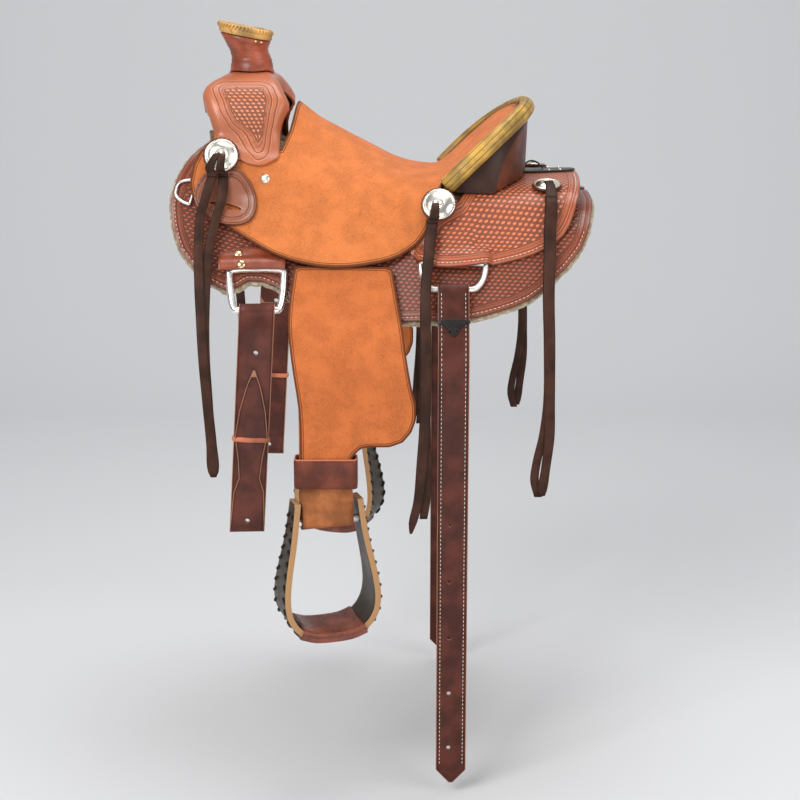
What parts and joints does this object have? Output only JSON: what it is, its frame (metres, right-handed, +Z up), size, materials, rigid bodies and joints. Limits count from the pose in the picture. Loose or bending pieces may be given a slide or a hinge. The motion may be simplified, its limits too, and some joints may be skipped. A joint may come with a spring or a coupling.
{
  "type": "wade saddle",
  "caption": "Western wade saddle with rough-out seat and fenders, tooled skirts, rigging rings, billets, strings and stirrups.",
  "frame": {"origin": "middle of the saddle's length on its centre plane, about 2 cm under the seat's lowest lining", "axes": "+X towards the cantle, the horn at -X; +Y the off (right) side, -Y the near side; +Z up"},
  "size_m": [0.651, 0.646, 1.17],
  "materials": {
    "wood": "raw",
    "wool": "fleece",
    "tooled_leather": "satin",
    "roughout_leather": "suede",
    "strap_leather": "satin",
    "string_leather": "satin",
    "stirrup_leather_dark": "satin",
    "rawhide": "satin",
    "steel": "polished",
    "silver": "satin"
  },
  "bodies": {
    "saddle": {"tree_fork": "wood", "tree_cantle": "wood", "horn_core": "wood", "horn_wrap": "tooled_leather", "horn_cap": "rawhide", "fork_cover": "tooled_leather", "ground_seat": "wood", "seat_leather": "roughout_leather", "cantle_binding": "rawhide", "cantle_back": "tooled_leather", "tree_bar_near": "wood", "skirt_lining_near": "wool", "skirt_near": "tooled_leather", "rear_jockey_near": "tooled_leather", "rigging_plate_near": "tooled_leather", "latigo_keeper_near": "strap_leather", "rear_dee_chape_near": "tooled_leather", "upper_leather_near": "roughout_leather", "front_concho_near": "silver", "mid_concho_near": "silver", "rear_concho_near": "silver", "tree_bar_off": "wood", "skirt_lining_off": "wool", "skirt_off": "tooled_leather", "rear_jockey_off": "tooled_leather", "rigging_plate_off": "tooled_leather", "latigo_keeper_off": "strap_leather", "rear_dee_chape_off": "tooled_leather", "upper_leather_off": "roughout_leather", "front_concho_off": "silver", "mid_concho_off": "silver", "rear_concho_off": "silver"},
    "leathers_near": {"fender_near": "roughout_leather", "stirrup_leather_near": "roughout_leather", "hobble_strap_near": "strap_leather"},
    "stirrup_near": {"stirrup_near": "stirrup_leather_dark", "stirrup_tread_near": "strap_leather", "stirrup_bolt_near": "steel"},
    "front_ring_near": {"front_ring_near": "steel"},
    "off_billet_near": {"off_billet_near": "strap_leather"},
    "rear_dee_near": {"rear_dee_near": "steel"},
    "flank_billet_near": {"flank_billet_near": "strap_leather"},
    "breast_dee_near": {"breast_dee_near": "steel"},
    "front_string_near": {"front_string_near": "string_leather"},
    "mid_string_near": {"mid_string_near": "string_leather"},
    "rear_string_near": {"rear_string_near": "string_leather"},
    "leathers_off": {"fender_off": "roughout_leather", "stirrup_leather_off": "roughout_leather", "hobble_strap_off": "strap_leather"},
    "stirrup_off": {"stirrup_off": "stirrup_leather_dark", "stirrup_tread_off": "strap_leather", "stirrup_bolt_off": "steel"},
    "front_ring_off": {"front_ring_off": "steel"},
    "off_billet_off": {"off_billet_off": "strap_leather"},
    "rear_dee_off": {"rear_dee_off": "steel"},
    "flank_billet_off": {"flank_billet_off": "strap_leather"},
    "breast_dee_off": {"breast_dee_off": "steel"},
    "front_string_off": {"front_string_off": "string_leather"},
    "mid_string_off": {"mid_string_off": "string_leather"},
    "rear_string_off": {"rear_string_off": "string_leather"}
  },
  "joints": [
    {"name": "fender_lift_near", "type": "hinge", "parent": "saddle", "child": "leathers_near", "pos_m": [-0.08, -0.1962, -0.076], "axis": [-1, 0, 0], "range_deg": [0, 38]},
    {"name": "stirrup_swing_near", "type": "hinge", "parent": "leathers_near", "child": "stirrup_near", "pos_m": [-0.112, -0.2645, -0.457], "axis": [0.9511, 0.309, 0], "range_deg": [-35, 35]},
    {"name": "ring_lift_near", "type": "hinge", "parent": "saddle", "child": "front_ring_near", "pos_m": [-0.2175, -0.18834, -0.0813], "axis": [-0.9986, -0.0531, 0], "range_deg": [0, 25]},
    {"name": "off_billet_swing_near", "type": "hinge", "parent": "front_ring_near", "child": "off_billet_near", "pos_m": [-0.2158, -0.22026, -0.13904], "axis": [-0.9986, -0.0531, 0], "range_deg": [-5, 60]},
    {"name": "rear_dee_lift_near", "type": "hinge", "parent": "saddle", "child": "rear_dee_near", "pos_m": [0.08, -0.20711, -0.06923], "axis": [-1, 0, 0], "range_deg": [0, 8]},
    {"name": "flank_billet_lift_near", "type": "hinge", "parent": "rear_dee_near", "child": "flank_billet_near", "pos_m": [0.08, -0.22747, -0.10596], "axis": [-1, 0, 0], "range_deg": [0, 50]},
    {"name": "breast_dee_lift_near", "type": "hinge", "parent": "saddle", "child": "breast_dee_near", "pos_m": [-0.3175, -0.13277, 0.02764], "axis": [0.1901, 0.4912, 0.85], "range_deg": [0, 12]},
    {"name": "front_string_lift_near", "type": "hinge", "parent": "saddle", "child": "front_string_near", "pos_m": [-0.286, -0.15459, 0.0585], "axis": [-1, 0, 0], "range_deg": [0, 60]},
    {"name": "mid_string_lift_near", "type": "hinge", "parent": "saddle", "child": "mid_string_near", "pos_m": [0.048, -0.20003, -0.0063], "axis": [-1, 0, 0], "range_deg": [0, 60]},
    {"name": "rear_string_lift_near", "type": "hinge", "parent": "saddle", "child": "rear_string_near", "pos_m": [0.229, -0.17876, 0.03], "axis": [-1, 0, 0], "range_deg": [0, 60]},
    {"name": "fender_lift_off", "type": "hinge", "parent": "saddle", "child": "leathers_off", "pos_m": [-0.08, 0.1962, -0.076], "axis": [1, 0, 0], "range_deg": [0, 38]},
    {"name": "stirrup_swing_off", "type": "hinge", "parent": "leathers_off", "child": "stirrup_off", "pos_m": [-0.112, 0.2645, -0.457], "axis": [0.9511, -0.309, 0], "range_deg": [-35, 35]},
    {"name": "ring_lift_off", "type": "hinge", "parent": "saddle", "child": "front_ring_off", "pos_m": [-0.2175, 0.18834, -0.0813], "axis": [0.9986, -0.0531, 0], "range_deg": [0, 25]},
    {"name": "off_billet_swing_off", "type": "hinge", "parent": "front_ring_off", "child": "off_billet_off", "pos_m": [-0.2158, 0.22026, -0.13904], "axis": [0.9986, -0.0531, 0], "range_deg": [-5, 60]},
    {"name": "rear_dee_lift_off", "type": "hinge", "parent": "saddle", "child": "rear_dee_off", "pos_m": [0.08, 0.20711, -0.06923], "axis": [1, 0, 0], "range_deg": [0, 8]},
    {"name": "flank_billet_lift_off", "type": "hinge", "parent": "rear_dee_off", "child": "flank_billet_off", "pos_m": [0.08, 0.22747, -0.10596], "axis": [1, 0, 0], "range_deg": [0, 50]},
    {"name": "breast_dee_lift_off", "type": "hinge", "parent": "saddle", "child": "breast_dee_off", "pos_m": [-0.3175, 0.13277, 0.02764], "axis": [-0.1901, 0.4912, -0.85], "range_deg": [0, 12]},
    {"name": "front_string_lift_off", "type": "hinge", "parent": "saddle", "child": "front_string_off", "pos_m": [-0.286, 0.15459, 0.0585], "axis": [1, 0, 0], "range_deg": [0, 60]},
    {"name": "mid_string_lift_off", "type": "hinge", "parent": "saddle", "child": "mid_string_off", "pos_m": [0.048, 0.20003, -0.0063], "axis": [1, 0, 0], "range_deg": [0, 60]},
    {"name": "rear_string_lift_off", "type": "hinge", "parent": "saddle", "child": "rear_string_off", "pos_m": [0.229, 0.17876, 0.03], "axis": [1, 0, 0], "range_deg": [0, 60]}
  ]
}
